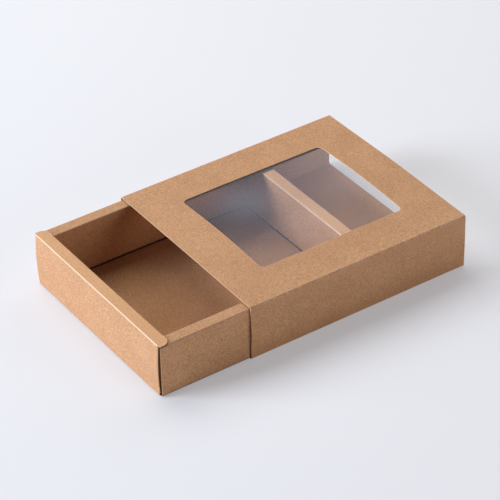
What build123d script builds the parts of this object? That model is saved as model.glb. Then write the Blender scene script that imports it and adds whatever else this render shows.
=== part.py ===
from build123d import *
from math import cos, pi, radians, sin
import os

# Sliding drawer gift box of folded kraft board: a flat sleeve, open at both ends, with a
# film window in its top, and a drawer tray with hollow rolled walls that slides through it.
# +Z is up, X runs across the width, Y runs along the slide and the drawer's front faces -Y.
# The origin is the centre of the sleeve's underside, and all sizes are in millimetres.
# The drawer is drawn out by drawer_out, as the box is shown.

# ---------------------------------------------------------------- sheet stock
board = 0.40              # kraft board, about 350 g/m2
film = 0.15               # clear window film
seam_glue_depth = 0.10    # dried glue in the sleeve's seam
film_glue_depth = 0.08    # dried glue between the film and the board

# ---------------------------------------------------------------- sleeve, outside sizes
sleeve_width = 150.0
sleeve_length = 169.0
sleeve_height = 40.2      # at the side creases; the crown stands above it
sleeve_crease = 1.2       # outer radius of the sleeve's soft creases
flap_crease = 0.9         # outer radius of the tight crease that turns up the glue flap
flap_height = 16.0        # glue flap, standing inside the far side wall
flap_taper = 5.0          # the flap's ends are drawn in by this much at its free edge

# The top panel is bowed upwards, most over the window and hardly at the front mouth.
crown_front_mouth = 0.2
crown_window_front = 2.4
crown_middle = 3.0
crown_window_rear = 1.9
crown_rear_mouth = 0.9

# The near side panel is bowed outwards, most at the front mouth.
bow_front_mouth = 0.9
bow_middle = 0.5
bow_rear_mouth = 0.2

# ---------------------------------------------------------------- window
window_margin = 29.0      # board left on all four sides of the window
window_corner = 4.0
film_margin = 13.0        # the film reaches this far under the board
glue_edge_margin = 2.0    # the glue stops short of the film's edge by this much
glue_window_margin = 4.0  # and short of the window's edge by this much

# ---------------------------------------------------------------- seam glue line
seam_glue_width = 8.0
seam_glue_end_margin = 12.0

# ---------------------------------------------------------------- drawer tray
side_play = 0.3           # tray side to the nearest board inside the sleeve
floor_play = 0.1          # tray floor to the sleeve's bottom panel
top_play = 0.6            # tray rim to the sleeve's top panel at its creases
end_recess = 0.9          # the closed drawer lies this far inside each mouth
rim_width = 8.8           # hollow walls, measured outside to inside
drawer_out = 66.6         # drawn out of the front mouth by this much
foot_width = 6.0          # feet inside the hollow walls
foot_gap = 0.6            # air under the feet, which spring up from the floor
bottom_crease = 0.8       # outer radii of the tray's creases
side_rim_crease = 1.2
end_rim_crease = 0.6
inner_rim_crease = 0.7
foot_crease = 1.4
tab_crease = 0.7
end_bow = 0.8             # the outer end panels are bowed outwards, less than end_recess
end_wall_play = 0.7       # each edge of an end wall to the inside of the side wall beside it
corner_setback = 1.0      # the side walls' cut ends lie this far behind the end walls
ear_radius = 5.5          # rounded ears of the end rims, lying over the side rims
ear_gap = 0.3             # air under the ears
slit = 0.2                # free cuts between neighbouring panels

# Corner tabs, turned back from the end walls into the hollow side walls.
tab_length = 22.0
tab_toe_in = 12.0         # degrees
tab_end_chamfer = 6.0
tab_edge_gap = 0.8        # above the side walls' feet and below their rims
end_panel_levels = 4      # steps up the bowed end panel

# Lock tabs of the inner end walls, pushed down through slots in the floor.
lock_width = 14.0
lock_spacing = 70.0
lock_play = 0.1

# ---------------------------------------------------------------- worked-out places
sleeve_half = sleeve_width / 2
mouth = sleeve_length / 2
window_width = sleeve_width - 2 * window_margin
window_length = sleeve_length - 2 * window_margin
film_width = window_width + 2 * film_margin
film_length = window_length + 2 * film_margin
wall_inside = sleeve_half - board
flap_face = wall_inside - seam_glue_depth      # the flap's glued face, on the far side

tray_half = flap_face - board - side_play
tray_floor = board + floor_play
floor_top = tray_floor + board
rim_top = sleeve_height - board - top_play     # top of the ears and end rims
side_rim_top = rim_top - board - ear_gap       # the side rims pass below the ears
tray_length = sleeve_length - 2 * end_recess
tray_front = -mouth - drawer_out
tray_middle = tray_front + tray_length / 2
side_start = tray_front + corner_setback
foot_level = floor_top + foot_gap + board / 2
well_half = tray_half - rim_width
end_wall_half = tray_half - board - end_wall_play
end_panel_half = well_half - slit


def centre(outer_radius):
    """Radius of the board's centre line in a crease with this outer radius."""
    return outer_radius - board / 2


def across(y):
    """The upright plane across the box at this place along the slide."""
    return Plane.XZ.offset(-y)


def near_side(y):
    """The same plane, turned so that its own x runs up the near side panel."""
    return Plane((0, y, sleeve_height / 2), x_dir=(0, 0, 1), z_dir=(0, 1, 0))


def folded_strip(plane, points, creases, length):
    """Board folded along this centre line, drawn out square to the plane."""
    with BuildSketch(plane) as profile:
        with BuildLine():
            FilletPolyline(*points, radius=[centre(crease) for crease in creases])
        trace(line_width=board)
    extrude(profile.sketch, amount=length)


def sleeve_crease_strip(x, z, start_angle):
    """One soft quarter-turn crease along the whole sleeve."""
    with BuildSketch(across(mouth)) as profile:
        with BuildLine():
            CenterArc((x, z), centre(sleeve_crease), start_angle, 90)
        trace(line_width=board)
    extrude(profile.sketch, amount=sleeve_length)


def bowed_sheet(plane_at, half_span, stations, lower_level, upper_level):
    """A sheet between two creases, bowed by its own amount at each station."""
    flat = ((1, 0), (1, 0))
    sections = []
    for place, bow in stations:
        with BuildSketch(plane_at(place)) as section:
            with BuildLine():
                edges = [Spline((-half_span, level), (0, level + bow), (half_span, level),
                                tangents=flat)
                         for level in (lower_level, upper_level)]
                Line(edges[0] @ 0, edges[1] @ 0)
                Line(edges[0] @ 1, edges[1] @ 1)
            make_face()
        sections.append(section.sketch)
    loft(sections)


def crowned_sheet(drop, thickness):
    """A sheet along the top panel, with its upper face this far below the panel's."""
    upper = sleeve_height - drop
    bowed_sheet(across, panel_half, crown_stations, upper - thickness, upper)


# ---------------------------------------------------------------- sleeve
panel_half = sleeve_half - sleeve_crease       # top panel, between its creases
side_panel_half = sleeve_height / 2 - sleeve_crease
flap_centre = flap_face - board / 2
crown_stations = (
    (-mouth, crown_front_mouth),
    (-window_length / 2, crown_window_front),
    (0, crown_middle),
    (window_length / 2, crown_window_rear),
    (mouth, crown_rear_mouth),
)
bow_stations = ((-mouth, bow_front_mouth), (0, bow_middle), (mouth, bow_rear_mouth))

with BuildPart() as sleeve:
    crowned_sheet(0, board)
    sleeve_crease_strip(panel_half, sleeve_height - sleeve_crease, 0)
    bowed_sheet(near_side, side_panel_half, bow_stations, wall_inside, sleeve_half)
    sleeve_crease_strip(panel_half, sleeve_crease, 270)
    folded_strip(
        across(mouth),
        ((panel_half, board / 2), (-flap_centre, board / 2), (-flap_centre, flap_height)),
        (flap_crease,), sleeve_length)
    sleeve_crease_strip(-panel_half, sleeve_height - sleeve_crease, 90)
    with BuildSketch(across(mouth)):
        with Locations((-sleeve_half, 0)):
            Rectangle(board, sleeve_height - sleeve_crease, align=(Align.MIN, Align.MIN))
    extrude(amount=sleeve_length)
    # the glue flap is drawn in towards its free edge, clear of both mouths
    with BuildSketch(Plane.YZ.offset(-flap_face)):
        for end in (-mouth, mouth):
            inwards = -flap_taper if end > 0 else flap_taper
            with BuildLine():
                Polyline((end, flap_crease), (end, flap_height),
                         (end + inwards, flap_height), close=True)
            make_face()
    extrude(amount=board, mode=Mode.SUBTRACT)
    with BuildSketch(Plane.XY.offset(sleeve_height / 2)):
        RectangleRounded(window_width, window_length, window_corner)
    extrude(amount=sleeve_height, mode=Mode.SUBTRACT)
sleeve.part.label = "sleeve"

with BuildPart() as sleeve_seam_glue:
    with BuildSketch(Plane.YZ.offset(-wall_inside)):
        with Locations((0, (flap_crease + flap_height) / 2)):
            SlotOverall(sleeve_length - 2 * seam_glue_end_margin, seam_glue_width)
    extrude(amount=seam_glue_depth)
sleeve_seam_glue.part.label = "sleeve_seam_glue"

# ---------------------------------------------------------------- window film and its glue
with BuildPart() as window_film:
    crowned_sheet(board + film_glue_depth, film)
    with BuildSketch():
        Rectangle(film_width, film_length)
    extrude(amount=2 * sleeve_height, mode=Mode.INTERSECT)
window_film.part.label = "window_film"

with BuildPart() as window_film_glue:
    crowned_sheet(board, film_glue_depth)
    with BuildSketch():
        Rectangle(film_width - 2 * glue_edge_margin, film_length - 2 * glue_edge_margin)
        RectangleRounded(window_width + 2 * glue_window_margin,
                         window_length + 2 * glue_window_margin,
                         window_corner + glue_window_margin, mode=Mode.SUBTRACT)
    extrude(amount=2 * sleeve_height, mode=Mode.INTERSECT)
window_film_glue.part.label = "window_film_glue"

# ---------------------------------------------------------------- drawer tray
# One blank. A quarter of it is folded up here, then mirrored across and along the tray.
floor_centre = tray_floor + board / 2
outer_side = tray_half - board / 2
inner_side = well_half + board / 2
side_rim = side_rim_top - board / 2
outer_end = tray_front + board / 2
inner_face = tray_front + rim_width
inner_end = inner_face - board / 2
end_rim = rim_top - board / 2
ear_start = tray_front + end_rim_crease
panel_foot = foot_level + centre(foot_crease)  # where the inner walls turn into their feet
tab_corner = end_wall_half - board / 2
tab_turn = radians(90 + tab_toe_in)
end_panel_edge = tab_corner - centre(tab_crease) * sin(tab_turn / 2) / cos(tab_turn / 2)
tab_bottom = foot_level + board / 2 + tab_edge_gap
tab_top = side_rim_top - side_rim_crease - tab_edge_gap
tab_reach = tab_length * cos(radians(tab_toe_in))
tab_tip = outer_end + tab_reach                # where the tab ends, before its bow
shoulder = side_start - slit                   # the tab is full height only up to here
end_panel_top = rim_top - end_rim_crease - slit

with BuildPart() as drawer_tray:
    # outer end panel, bowed outwards, with a corner tab turned back from its edge
    levels = []
    for step in range(end_panel_levels + 1):
        rise = step / end_panel_levels
        face = outer_end - end_bow * sin(pi * rise)
        with BuildSketch(Plane.XY.offset(tab_bottom + rise * (end_panel_top - tab_bottom))) as level:
            with BuildLine():
                FilletPolyline(
                    (0, face), (tab_corner, face),
                    (tab_corner - tab_length * sin(radians(tab_toe_in)), face + tab_reach),
                    radius=centre(tab_crease))
            trace(line_width=board)
        levels.append(level.sketch)
    loft(levels)
    # the tab is cut down behind its shoulder, to pass under the side rim, and its tip is cut off
    with BuildSketch(Plane.YZ):
        with BuildLine():
            Polyline((shoulder, rim_top), (shoulder, tab_top), (tab_tip - tab_end_chamfer, tab_top),
                     (tab_tip, tab_top - tab_end_chamfer), (tab_tip, rim_top), close=True)
        make_face()
        with BuildLine():
            Polyline((tab_tip - tab_end_chamfer, tab_bottom), (tab_tip, tab_bottom),
                     (tab_tip, tab_bottom + tab_end_chamfer), close=True)
        make_face()
    extrude(amount=tray_half, mode=Mode.SUBTRACT)
    # half floor and hollow side wall: outer panel, rim, inner panel and foot
    folded_strip(
        across(tray_middle),
        ((0, floor_centre), (outer_side, floor_centre), (outer_side, side_rim),
         (inner_side, side_rim), (inner_side, foot_level), (inner_side + foot_width, foot_level)),
        (bottom_crease, side_rim_crease, inner_rim_crease, foot_crease),
        tray_middle - side_start)
    # the end wall's bottom crease and its crisp rim crease
    folded_strip(
        Plane.YZ,
        ((side_start, floor_centre), (outer_end, floor_centre), (outer_end, tab_bottom)),
        (bottom_crease,), end_panel_edge)
    folded_strip(
        Plane.YZ,
        ((outer_end, end_panel_top), (outer_end, end_rim), (ear_start + slit, end_rim)),
        (end_rim_crease,), end_panel_edge)
    # end rim, whose rounded ear lies over the side wall's rim
    with BuildSketch(Plane.XY.offset(rim_top - board)):
        with BuildLine():
            FilletPolyline(
                (0, ear_start), (tray_half, ear_start), (tray_half, inner_face),
                (well_half, inner_face), (well_half, inner_face - inner_rim_crease),
                (0, inner_face - inner_rim_crease),
                radius=(0, 0, ear_radius, 0, 0, 0), close=True)
        make_face()
    extrude(amount=board)
    # inner end wall and its foot, between the inner side walls
    folded_strip(
        Plane.YZ,
        ((inner_end - 2 * inner_rim_crease, end_rim), (inner_end, end_rim),
         (inner_end, foot_level), (inner_end - foot_width, foot_level)),
        (inner_rim_crease, foot_crease), end_panel_half)
    # lock tab: cut free of the foot and pushed through its slot in the floor
    with BuildSketch(Plane.XY.offset(floor_top)):
        with Locations((lock_spacing / 2, inner_face)):
            Rectangle(lock_width + 2 * slit, foot_width + board, align=(Align.CENTER, Align.MAX))
    extrude(amount=panel_foot - floor_top, mode=Mode.SUBTRACT)
    with BuildSketch(Plane.XY.offset(tray_floor)):
        with Locations((lock_spacing / 2, inner_end)):
            Rectangle(lock_width + 2 * slit, board + 2 * lock_play)
    extrude(amount=board, mode=Mode.SUBTRACT)
    with BuildSketch(Plane.XY.offset(tray_floor)):
        with Locations((lock_spacing / 2, inner_end)):
            Rectangle(lock_width, board)
    extrude(amount=panel_foot - tray_floor)
    mirror(about=Plane.YZ)
    mirror(about=across(tray_middle))
drawer_tray.part.label = "drawer_tray"

os.makedirs("parts", exist_ok=True)
export_step(sleeve.part, "parts/sleeve.step")
export_step(sleeve_seam_glue.part, "parts/sleeve_seam_glue.step")
export_step(window_film.part, "parts/window_film.step")
export_step(window_film_glue.part, "parts/window_film_glue.step")
export_step(drawer_tray.part, "parts/drawer_tray.step")
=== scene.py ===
from math import cos, pi, radians, sin

import bpy
from mathutils import Matrix, Vector


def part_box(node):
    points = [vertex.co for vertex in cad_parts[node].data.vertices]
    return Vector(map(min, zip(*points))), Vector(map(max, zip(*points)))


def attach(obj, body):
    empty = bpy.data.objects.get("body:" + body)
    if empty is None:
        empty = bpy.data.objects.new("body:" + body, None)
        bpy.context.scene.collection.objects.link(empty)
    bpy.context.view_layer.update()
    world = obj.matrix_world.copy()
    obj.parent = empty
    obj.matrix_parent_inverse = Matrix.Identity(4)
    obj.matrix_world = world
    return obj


# A drawer gift box of folded kraft board. Lengths are metres in the row's frame: +Z up,
# Y along the slide, the drawer's front facing -Y, the origin under the sleeve's centre.
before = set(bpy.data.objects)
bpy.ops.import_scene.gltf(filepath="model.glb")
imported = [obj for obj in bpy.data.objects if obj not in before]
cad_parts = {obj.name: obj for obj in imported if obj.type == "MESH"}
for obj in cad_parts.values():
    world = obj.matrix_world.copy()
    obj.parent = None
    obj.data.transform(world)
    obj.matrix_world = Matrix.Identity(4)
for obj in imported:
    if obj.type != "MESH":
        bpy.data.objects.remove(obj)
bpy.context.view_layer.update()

# ------------------------------------------------------------------ sleeve
# One blank of brown kraft board, 0.4 mm thick, creased four times into a tube and glued
# along the far side. Its window is die-cut. The board is matt, with short pressed fibres,
# rubbed paler along its creases, and its cut edges show the paler core.
mm = 0.001


def paint(red, green, blue):
    """A colour as a screen shows it, 0 to 255, as the shader's linear value."""
    return tuple(((level / 255 + 0.055) / 1.055) ** 2.4 for level in (red, green, blue)) + (1,)


class Wire:
    """A socket's output. Arithmetic on it adds Math nodes to its graph."""

    def __init__(self, graph, socket):
        self.graph = graph
        self.socket = socket

    def math(self, operation, *values):
        names = ("Value", "Value_001", "Value_002")
        return self.graph.node("Math", {"operation": operation}, dict(zip(names, values)))

    def __add__(self, other):
        return self.math("ADD", self, other)

    def __sub__(self, other):
        return self.math("SUBTRACT", self, other)

    def __rsub__(self, other):
        return self.math("SUBTRACT", other, self)

    def __mul__(self, other):
        return self.math("MULTIPLY", self, other)

    def __pow__(self, other):
        return self.math("POWER", self, other)

    def __abs__(self):
        return self.math("ABSOLUTE", self)

    __radd__ = __add__
    __rmul__ = __mul__

    def above(self, other):
        return self.math("MAXIMUM", self, other)

    def below(self, other):
        return self.math("MINIMUM", self, other)

    def sine(self):
        return self.math("SINE", self)


class Graph:
    """A node tree under way. node() adds any node and gives its output as a Wire."""

    family = ""

    def __init__(self, tree):
        self.tree = tree

    def feed(self, made, sockets):
        """Set a node's inputs, by their identifiers, to values or to Wires."""
        by_identifier = {socket.identifier: socket for socket in made.inputs}
        for name, value in sockets.items():
            if isinstance(value, Wire):
                self.tree.links.new(value.socket, by_identifier[name])
            else:
                by_identifier[name].default_value = value

    def node(self, kind, settings=None, sockets=None, out=None):
        made = self.tree.nodes.new(self.family + kind)
        for name, value in (settings or {}).items():
            setattr(made, name, value)
        self.feed(made, sockets or {})
        if out is None:
            outputs = [socket for socket in made.outputs if socket.enabled]
        else:
            outputs = [socket for socket in made.outputs if socket.identifier == out]
        return Wire(self, outputs[0])


class Finish(Graph):
    """A material under way, on the place of each point in the row's frame."""

    family = "ShaderNode"

    def __init__(self, name):
        self.material = bpy.data.materials.new(name)
        self.material.use_nodes = True
        super().__init__(self.material.node_tree)
        self.shader = self.tree.nodes["Principled BSDF"]
        self.place = self.node("TexCoord", out="Object")
        self.x, self.y, self.z = (
            self.node("SeparateXYZ", {}, {"Vector": self.place}, out=axis) for axis in "XYZ")

    def noise(self, size, detail=2, stretch=(1, 1, 1)):
        """Noise whose blotches are about this size, drawn out along the axes by stretch."""
        scaled = self.node("VectorMath", {"operation": "DIVIDE"}, {
            "Vector": self.place, "Vector_001": tuple(size * factor for factor in stretch)})
        return self.node("TexNoise", {}, {"Vector": scaled, "Scale": 1, "Detail": detail},
                         out="Fac")

    def ramp(self, value, low, high):
        """0 where the value is under low, 1 over high, with a smooth rise between."""
        return self.node("MapRange", {"interpolation_type": "SMOOTHSTEP"}, {
            "Value": value, "From Min": low, "From Max": high}, out="Result")

    def fall(self, value, low, high):
        """1 where the value is under low, 0 over high, with a smooth fall between."""
        return 1 - self.ramp(value, low, high)

    def mix(self, share, first, second):
        return self.node("Mix", {"data_type": "RGBA"}, {
            "Factor_Float": share, "A_Color": first, "B_Color": second}, out="Result_Color")

    def line(self, across, up):
        """Distance from a straight crease, from the two distances square to it."""
        return (across * across + up * up) ** 0.5


kraft_pale = paint(214, 164, 124)
kraft_deep = paint(174, 128, 92)
kraft_fleck = paint(148, 100, 66)
kraft_rubbed = paint(250, 228, 206)
kraft_core = paint(236, 198, 162)
# Painted light: a paler tone for the sleeve's inner bottom and the tray's end rim tops.
kraft_painted_light = paint(240, 186, 136)
# Painted shade: dark brown for the tray's slits, foot grooves, underside and the rims under its
# ears.
kraft_painted_shade = paint(78, 50, 31)
fibre_width = 0.22 * mm
fibre_stretch = 9
darkest_weave, palest_weave = 0.84, 1.27
fleck_spacing = 1.6 * mm
fleck_core, fleck_rim = 0.06, 0.14
fleck_strength = 0.55
relief_height = 0.05 * mm
relief_strength = 0.55
board_roughness = 0.82
board_gloss = 0.28


def kraft_board(name, *marks):
    """Kraft board. Each mark is a colour and the function that gives its share, 0 to 1."""
    board = Finish(name)
    cloud = board.noise(22 * mm, 3)
    mottle = board.noise(2.2 * mm, 2)
    tooth = board.noise(0.95 * mm, 2)
    grit = board.noise(0.5 * mm, 1)
    along = board.noise(fibre_width, 1, stretch=(1, fibre_stretch, 1))
    sideways = board.noise(fibre_width, 1, stretch=(fibre_stretch, 1, 1))
    upright = board.noise(fibre_width, 1, stretch=(1, 1, fibre_stretch))
    fibres = along.above(sideways).above(upright)
    weave = cloud * 0.2 + mottle * 0.15 + tooth * 0.6 + grit * 0.85 + fibres * 0.3
    tone = board.mix(board.ramp(weave, darkest_weave, palest_weave), kraft_deep, kraft_pale)
    cells = board.node("TexVoronoi", {"feature": "F1"}, {
        "Vector": board.place, "Scale": 1 / fleck_spacing}, out="Distance")
    fleck = board.fall(cells, fleck_core, fleck_rim) * board.ramp(mottle, 0.5, 0.6)
    tone = board.mix(fleck * fleck_strength, tone, kraft_fleck)
    for colour, share in marks:
        tone = board.mix(share(board), tone, colour)
    relief = fibres * 0.5 + tooth * 0.5 + mottle
    bump = board.node("Bump", {}, {
        "Strength": relief_strength, "Distance": relief_height, "Height": relief}, out="Normal")
    board.feed(board.shader, {
        "Base Color": tone, "Roughness": board_roughness + 0.1 * tooth, "Normal": bump,
        "Specular IOR Level": board_gloss})
    return board.material


sleeve_low, sleeve_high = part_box("sleeve")
sleeve_half = -sleeve_low.x
mouth = sleeve_high.y
sleeve_height = 40.2 * mm
board_thick = 0.4 * mm
film_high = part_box("window_film")[1]
film_margin = 13 * mm
window_half_x = film_high.x - film_margin
window_half_y = film_high.y - film_margin
window_corner = 4 * mm
top_panel_low = sleeve_height - 2 * mm
top_panel_high = sleeve_height - 1 * mm
cut_depth = 0.06 * mm
scuff_size = 3.5 * mm
# A crease's wear is whole within its first width and gone past its second.
sleeve_crease = (0.5 * mm, 1.8 * mm)
sleeve_crease_wear = 0.02
sleeve_scuff_wear = 0.16
# Painted light on the bottom panel's inner face.
inner_face_light_share = 0.5


def scuffs(board):
    """Patches of a crease where its fibres are rubbed up."""
    return board.ramp(board.noise(scuff_size, 3, stretch=(0.5, 1, 0.5)), 0.44, 0.6)


def sleeve_rubbed(board):
    """The four creases: a faint pale line, with stronger patches."""
    across = sleeve_half - abs(board.x)
    up = (sleeve_height - board.z).below(board.z)
    crease = board.fall(board.line(across, up), *sleeve_crease)
    return crease * (sleeve_crease_wear + sleeve_scuff_wear * scuffs(board))


def sleeve_cut(board):
    """The board's cut edges, at the two mouths and round the window."""
    mouth_edge = board.ramp(abs(board.y), mouth - 2 * cut_depth, mouth - cut_depth)
    beside = (abs(board.x) - (window_half_x - window_corner)).above(0)
    along = (abs(board.y) - (window_half_y - window_corner)).above(0)
    from_edge = abs(board.line(beside, along) - window_corner)
    window_edge = board.fall(from_edge, cut_depth, 2 * cut_depth) * board.ramp(
        board.z, top_panel_low, top_panel_high)
    return mouth_edge.above(window_edge)


def sleeve_painted_light(board):
    """Painted light: the bottom panel's inner face, made paler to stand in for light that falls
    on it through the rear mouth and the window.
    """
    past_outer_face = board.ramp(board.z, board_thick - 0.25 * mm, board_thick - 0.05 * mm)
    under_walls = board.fall(board.z, board_thick + 0.2 * mm, board_thick + 0.6 * mm)
    return past_outer_face * under_walls * inner_face_light_share


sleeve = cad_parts["sleeve"]
sleeve.material_slots[0].material = kraft_board(
    "kraft_board_sleeve", (kraft_painted_light, sleeve_painted_light), (kraft_rubbed, sleeve_rubbed),
    (kraft_core, sleeve_cut))

# ------------------------------------------------------------------ glue
# Dried white glue: one line in the sleeve's side seam, one thin frame under the window's
# edge that holds the film.
glue_clear = paint(214, 206, 190)
glue_milky = paint(236, 232, 222)
glue = Finish("dried_glue_milky")
glue.feed(glue.shader, {
    "Base Color": glue.mix(glue.noise(1.2 * mm, 3), glue_clear, glue_milky),
    "Roughness": 0.35 + 0.2 * glue.noise(0.8 * mm)})
for name in ("sleeve_seam_glue", "window_film_glue"):
    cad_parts[name].material_slots[0].material = glue.material

# ------------------------------------------------------------------ window film
# Clear glossy film, glued under the top panel. A painted reflection of the room lies on it as a
# pale haze in soft patches. This stops short of the far edge, where a painted dark line stands in
# for the board's shaded edge seen in the film.
# Painted reflection of the room, and painted shade along the far edge.
film_painted_reflection = paint(187, 190, 204)
film_edge_shade = paint(44, 29, 20)
film_roughness = 0.16
film_gloss = 0.9
ripple_size = 34 * mm
ripple_height = 0.6 * mm
ripple_strength = 0.5
reflection_all_over = 0.08
reflection_in_ripples = 0.04
reflection_patches = (
    # share, x, y, radius
    (0.08, -20 * mm, -24 * mm, 32 * mm),
    (0.04, -4 * mm, -8 * mm, 50 * mm),
    (0.09, -30 * mm, 46 * mm, 64 * mm))
# Both fade over these distances from the window's far edge.
edge_shade_fade = (1.2 * mm, 2.1 * mm)
reflection_start = (1.2 * mm, 3.2 * mm)
edge_shade_share = 0.92

clear = Finish("clear_film_gloss")
ripple = clear.noise(ripple_size, 2, stretch=(1, 1.6, 1))
# Painted reflection: a share of pale opaque film over the clear, in soft patches.
painted_reflection = reflection_all_over + reflection_in_ripples * ripple
for share, x, y, radius in reflection_patches:
    painted_reflection = painted_reflection + share * clear.fall(clear.line(clear.x - x, clear.y - y), 0, radius)
from_far_edge = clear.x + window_half_x
painted_reflection = painted_reflection * clear.ramp(from_far_edge, *reflection_start)
# Painted shade: a dark line along the window's far edge.
painted_edge_shade = clear.fall(from_far_edge, *edge_shade_fade) * edge_shade_share
clear.feed(clear.shader, {
    "Base Color": clear.mix(painted_edge_shade, film_painted_reflection, film_edge_shade),
    "Roughness": film_roughness, "Specular IOR Level": film_gloss,
    "Normal": clear.node("Bump", {}, {
        "Strength": ripple_strength, "Distance": ripple_height, "Height": ripple}, out="Normal")})
see_through = clear.node("BsdfTransparent")
film_with_painted_reflection = clear.node("MixShader", {}, {
    "Fac": painted_reflection.above(painted_edge_shade), "Shader": see_through,
    "Shader_001": Wire(clear, clear.shader.outputs[0])})
clear.feed(clear.tree.nodes["Material Output"], {"Surface": film_with_painted_reflection})
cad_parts["window_film"].material_slots[0].material = clear.material

# ------------------------------------------------------------------ drawer tray
# One more blank, folded up: floor, hollow rolled walls, corner tabs, ears and feet. Its end
# creases are sharp and rubbed to a pale line, and its side creases are softer.
tray_low, tray_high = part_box("drawer_tray")
rim_width = 8.8 * mm
end_bow = 0.8 * mm
ear_gap = 0.3 * mm
ear_radius = 5.5 * mm
corner_setback = 1.0 * mm
tray_middle = (tray_low.y + tray_high.y) / 2
tray_end = (tray_high.y - tray_low.y) / 2 - end_bow
rim_top = tray_high.z
side_rim_top = rim_top - board_thick - ear_gap
well_half = tray_high.x - rim_width
well_end = tray_end - rim_width
end_wall_half = tray_high.x - 1.1 * mm
foot_crease_level = 1.2 * mm
foot_crease_depth = 1.2 * mm

# Painted highlight on the end rims' tops, front and rear.
front_rim_highlight, rear_rim_highlight = 0.42, 0.72
end_crease = (0.35 * mm, 0.7 * mm)
end_crease_wear = 0.65
inner_end_crease = (0.5 * mm, 0.85 * mm)
front_inner_wear, rear_inner_wear = 0.12, 0.62
side_crease = (0.6 * mm, 1.4 * mm)
side_crease_wear = 0.03
side_scuff_wear = 0.1
inner_side_crease = (0.4 * mm, 0.8 * mm)
inner_side_wear = 0.2
# Painted shade under the ears, in the foot grooves and along the underside.
ear_shade_share = 0.9
groove_shade_share = 0.85
underside_shade_share = 0.85


def end_place(board):
    """Distance from the tray's middle, towards either end wall."""
    return abs(board.y - tray_middle)


def by_end(board, front, rear):
    """One share over the tray's front half and another over its rear half."""
    at_rear = board.ramp(board.y, tray_middle - 1 * mm, tray_middle + 1 * mm)
    return front + (rear - front) * at_rear


def tray_painted_highlight(board):
    """Painted highlight: the end rims' flat tops, made paler, more at the rear."""
    top = board.ramp(board.z, rim_top - 0.3 * mm, rim_top - 0.1 * mm)
    on_rim = board.ramp(end_place(board), well_end, well_end + 0.5 * mm)
    return top * on_rim * by_end(board, front_rim_highlight, rear_rim_highlight)


def tray_rubbed(board):
    """The rims' creases, outer and inner, along the end walls and the side walls."""
    side = abs(board.x)
    end = end_place(board)
    from_end = board.line(end - tray_end, board.z - rim_top)
    from_inner_end = board.line(end - well_end, board.z - rim_top)
    from_side = board.line(side - tray_high.x, board.z - side_rim_top)
    from_inner_side = board.line(side - well_half, board.z - side_rim_top)
    sharp = board.fall(from_end, *end_crease) * end_crease_wear
    inner_sharp = board.fall(from_inner_end, *inner_end_crease) * by_end(
        board, front_inner_wear, rear_inner_wear)
    soft = board.fall(from_side, *side_crease) * (
        side_crease_wear + side_scuff_wear * scuffs(board))
    inner_soft = board.fall(from_inner_side, *inner_side_crease) * inner_side_wear
    return sharp.above(inner_sharp).above(soft).above(inner_soft)


def under_ears(board):
    """The side rims under the ears' edges, where no light falls."""
    side = abs(board.x)
    end = end_place(board)
    past_ear = board.line((side - (tray_high.x - ear_radius)).above(0),
                          (well_end + ear_radius - end).above(0)) - ear_radius
    covered = board.fall(past_ear, 0.25 * mm, 0.5 * mm) * board.ramp(
        side, well_half + 0.05 * mm, well_half + 0.3 * mm)
    above_wall = board.ramp(board.z, side_rim_top - 0.9 * mm, side_rim_top - 0.6 * mm)
    below_ear = board.fall(board.z, rim_top - board_thick - 0.08 * mm, rim_top - board_thick)
    short_of_end = board.fall(end, tray_end - corner_setback + 0.02 * mm,
                              tray_end - corner_setback + 0.1 * mm)
    return covered * above_wall * below_ear * short_of_end


def tray_painted_shade(board):
    """Painted shade: the corner slits, the grooves at the walls' feet, the underside and under
    the ears.
    """
    side = abs(board.x)
    end = end_place(board)
    bowed_face = tray_end + end_bow * (board.z * (pi / rim_top)).sine()
    corner = board.ramp(side, end_wall_half - 0.6 * mm, end_wall_half - 0.1 * mm) * board.fall(
        side, end_wall_half + 0.5 * mm, end_wall_half + 0.6 * mm)
    behind_face = board.ramp(bowed_face - end, 0.3 * mm, 0.65 * mm)
    under_rim = board.fall(board.z, side_rim_top - 0.6 * mm, side_rim_top)
    slit = corner * behind_face * under_rim
    foot = board.z - foot_crease_level
    side_groove = board.line(side - well_half - foot_crease_depth, foot)
    end_groove = board.line(end - well_end - foot_crease_depth, foot)
    into_wall = (side - well_half).above(end - well_end)
    groove = board.fall(side_groove.below(end_groove), 1.35 * mm, 1.75 * mm) * board.fall(
        into_wall, 2.6 * mm, 2.9 * mm)
    underside = board.fall(board.z - tray_low.z, 0.4 * mm, 1.3 * mm) * board.ramp(
        side, tray_high.x - 1 * mm, tray_high.x - 0.4 * mm)
    return slit.above(groove * groove_shade_share).above(underside * underside_shade_share).above(
        under_ears(board) * ear_shade_share)


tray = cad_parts["drawer_tray"]
tray.material_slots[0].material = kraft_board(
    "kraft_board_tray", (kraft_painted_light, tray_painted_highlight), (kraft_rubbed, tray_rubbed),
    (kraft_painted_shade, tray_painted_shade))

# ------------------------------------------------------------------ torn creases
# The tray's inner creases are perforated so that its walls roll over crisply. The fibres
# torn between the cuts stand out as pale tufts along the rims and as teeth at the feet.
perforation_pitch = 2.4 * mm
row_end = 1.5 * mm
rim_inset = 0.2 * mm
tuft_half_size = (0.45 * mm, 0.15 * mm, 0.13 * mm)
tuft_seed = 11
tooth_half_size = (0.6 * mm, 0.3 * mm, 0.42 * mm)
tooth_inset = 0.3 * mm
tooth_level = 2.15 * mm
tooth_seed = 23
least_lump, most_lump = 0.6, 1.3
lump_segments, lump_rings = 8, 5
torn_fibre_wear = 0.12
torn_scuff_wear = 0.4

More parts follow.
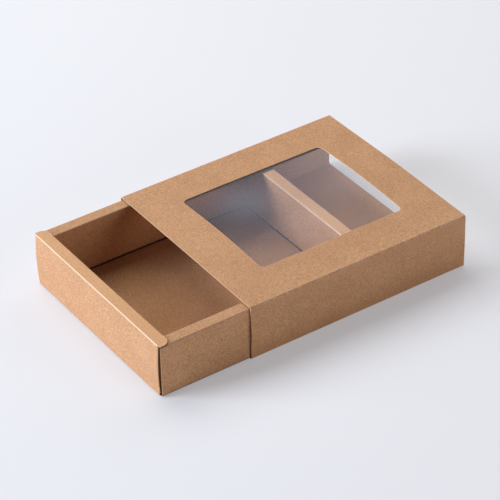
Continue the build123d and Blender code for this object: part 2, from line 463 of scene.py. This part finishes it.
torn_tree = bpy.data.node_groups.new("torn_crease", "GeometryNodeTree")
torn_inputs = {}
for name, kind in (("Rows", "Geometry"), ("Pitch", "Float"), ("Half Size", "Vector"),
                   ("Seed", "Int"), ("Finish", "Material")):
    torn_inputs[name] = torn_tree.interface.new_socket(
        name, in_out="INPUT", socket_type="NodeSocket" + kind).identifier
torn_output = torn_tree.interface.new_socket(
    "Lumps", in_out="OUTPUT", socket_type="NodeSocketGeometry").identifier
torn = Graph(torn_tree)
given = {name: torn.node("NodeGroupInput", out=identifier)
         for name, identifier in torn_inputs.items()}
rows = torn.node("GeometryNodeMeshToCurve", {}, {"Mesh": given["Rows"]})
spots = torn.node("GeometryNodeResampleCurve", {"mode": "LENGTH"}, {
    "Curve": rows, "Length": given["Pitch"]})
turned = torn.node("FunctionNodeAlignRotationToVector", {"axis": "X"}, {
    "Vector": torn.node("GeometryNodeInputTangent")})
uneven = torn.node("FunctionNodeRandomValue", {"data_type": "FLOAT_VECTOR"}, {
    "Min": (least_lump,) * 3, "Max": (most_lump,) * 3, "Seed": given["Seed"]}, out="Value")
lump_size = torn.node("ShaderNodeVectorMath", {"operation": "MULTIPLY"}, {
    "Vector": uneven, "Vector_001": given["Half Size"]})
lump = torn.node("GeometryNodeMeshUVSphere", {}, {
    "Segments": lump_segments, "Rings": lump_rings})
lumps = torn.node("GeometryNodeInstanceOnPoints", {}, {
    "Points": spots, "Instance": lump, "Rotation": turned, "Scale": lump_size})
made_real = torn.node("GeometryNodeRealizeInstances", {}, {"Geometry": lumps})
finished = torn.node("GeometryNodeSetMaterial", {}, {
    "Geometry": made_real, "Material": given["Finish"]})
torn.feed(torn_tree.nodes.new("NodeGroupOutput"), {torn_output: finished})


def torn_fibres(board):
    """The whole lump, paler in patches."""
    return torn_fibre_wear + torn_scuff_wear * scuffs(board)


kraft_torn = kraft_board("kraft_board_torn", (kraft_rubbed, torn_fibres))


def torn_crease(name, inset, side_level, end_level, half_size, seed):
    """Lumps along the four inner walls, this far behind their faces."""
    corners = []
    for hand in (-1, 1):
        x = hand * (well_half + inset)
        y = tray_middle + hand * (well_end + inset)
        for place in (row_end - well_end, well_end - row_end):
            corners.append((x, tray_middle + place, side_level))
        for place in (row_end - well_half, well_half - row_end):
            corners.append((place, y, end_level))
    edges = bpy.data.meshes.new(name)
    edges.from_pydata(corners, [(start, start + 1) for start in range(0, len(corners), 2)], [])
    piece = bpy.data.objects.new(name, edges)
    bpy.context.scene.collection.objects.link(piece)
    modifier = piece.modifiers.new("lumps", "NODES")
    modifier.node_group = torn_tree
    modifier[torn_inputs["Pitch"]] = perforation_pitch
    modifier[torn_inputs["Half Size"]] = half_size
    modifier[torn_inputs["Seed"]] = seed
    modifier[torn_inputs["Finish"]] = kraft_torn
    view = bpy.context.evaluated_depsgraph_get()
    mesh = bpy.data.meshes.new_from_object(piece.evaluated_get(view), depsgraph=view)
    piece.modifiers.clear()
    piece.data = mesh
    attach(piece, "drawer")


torn_crease("rim_perforations", rim_inset, side_rim_top - rim_inset, rim_top - rim_inset,
            tuft_half_size, tuft_seed)
torn_crease("foot_perforations", tooth_inset, tooth_level, tooth_level, tooth_half_size,
            tooth_seed)

# ------------------------------------------------------------------ table, light and camera
# A pale matt table and four large soft lamps round the box, in a dim room. The camera stands
# at the near right corner of the drawer's front and looks down.
table_side = 12.0
table_white = paint(236, 236, 242)
table_glow = paint(238, 238, 243)
glow_share = 0.35
room_colour = (0.94, 0.96, 1.0, 1)
room_strength = 0.045

bpy.ops.mesh.primitive_plane_add(size=table_side, location=(0, 0, 0))
table = bpy.context.object
table.name = "table"
paper = Finish("pale_table")
paper.feed(paper.shader, {"Base Color": table_white, "Roughness": 0.9,
                          "Specular IOR Level": 0.1})
glow = paper.node("Emission", {}, {"Color": table_glow, "Strength": 1})
seen = paper.node("LightPath", out="Is Camera Ray")
for ray in ("Is Glossy Ray", "Is Transmission Ray"):
    seen = seen.above(paper.node("LightPath", out=ray))
paper.feed(paper.tree.nodes["Material Output"], {"Surface": paper.node("MixShader", {}, {
    "Fac": seen * glow_share, "Shader": Wire(paper, paper.shader.outputs[0]),
    "Shader_001": glow})})
table.data.materials.append(paper.material)

scene = bpy.context.scene
scene.view_settings.view_transform = "Standard"
world = bpy.data.worlds.new("room")
world.use_nodes = True
scene.world = world
sky = world.node_tree.nodes["Background"]
sky.inputs["Color"].default_value = room_colour
sky.inputs["Strength"].default_value = room_strength


def lamp(name, azimuth, elevation, distance, side, watts, colour):
    """A square soft lamp that looks at the box. Azimuth 0 stands at -Y and 90 at +X."""
    light = bpy.data.lights.new(name, "AREA")
    light.size = side
    light.energy = watts
    light.color = colour
    holder = bpy.data.objects.new(name, light)
    turn = radians(azimuth)
    rise = radians(elevation)
    towards = Vector((sin(turn) * cos(rise), -cos(turn) * cos(rise), sin(rise)))
    holder.location = towards * distance
    holder.rotation_mode = "QUATERNION"
    holder.rotation_quaternion = towards.to_track_quat("Z", "Y")
    scene.collection.objects.link(holder)


lamp("key_lamp", -24, 21, 2.8, 1.4, 90, (0.91, 1.0, 1.12))
lamp("window_light", -86, 55, 2.2, 1.6, 26.6, (1.0, 0.985, 0.9))
lamp("back_light", -150, 35, 3.0, 2.0, 20, (1.0, 0.97, 1.0))
lamp("fill_lamp", 114, 12, 2.4, 1.3, 17.8, (1.0, 0.97, 0.92))

camera_azimuth = radians(56.10)
camera_elevation = radians(35.71)
camera_roll = radians(-1.266)
camera_distance = 1.6549
look_at = Vector((-0.02219, -0.01869, 0))
focal_pixels = 2495.9
picture_side = 500
back = Vector((sin(camera_azimuth) * cos(camera_elevation),
               -cos(camera_azimuth) * cos(camera_elevation), sin(camera_elevation)))
right = Vector((cos(camera_azimuth), sin(camera_azimuth), 0))
up = back.cross(right)
level = Matrix((right, up, back)).transposed()
camera = bpy.data.objects.new("camera", bpy.data.cameras.new("camera"))
camera.data.lens = focal_pixels / picture_side * camera.data.sensor_width
camera.rotation_mode = "QUATERNION"
camera.rotation_quaternion = (level @ Matrix.Rotation(camera_roll, 3, "Z")).to_quaternion()
camera.location = look_at + back * camera_distance
scene.collection.objects.link(camera)
scene.camera = camera
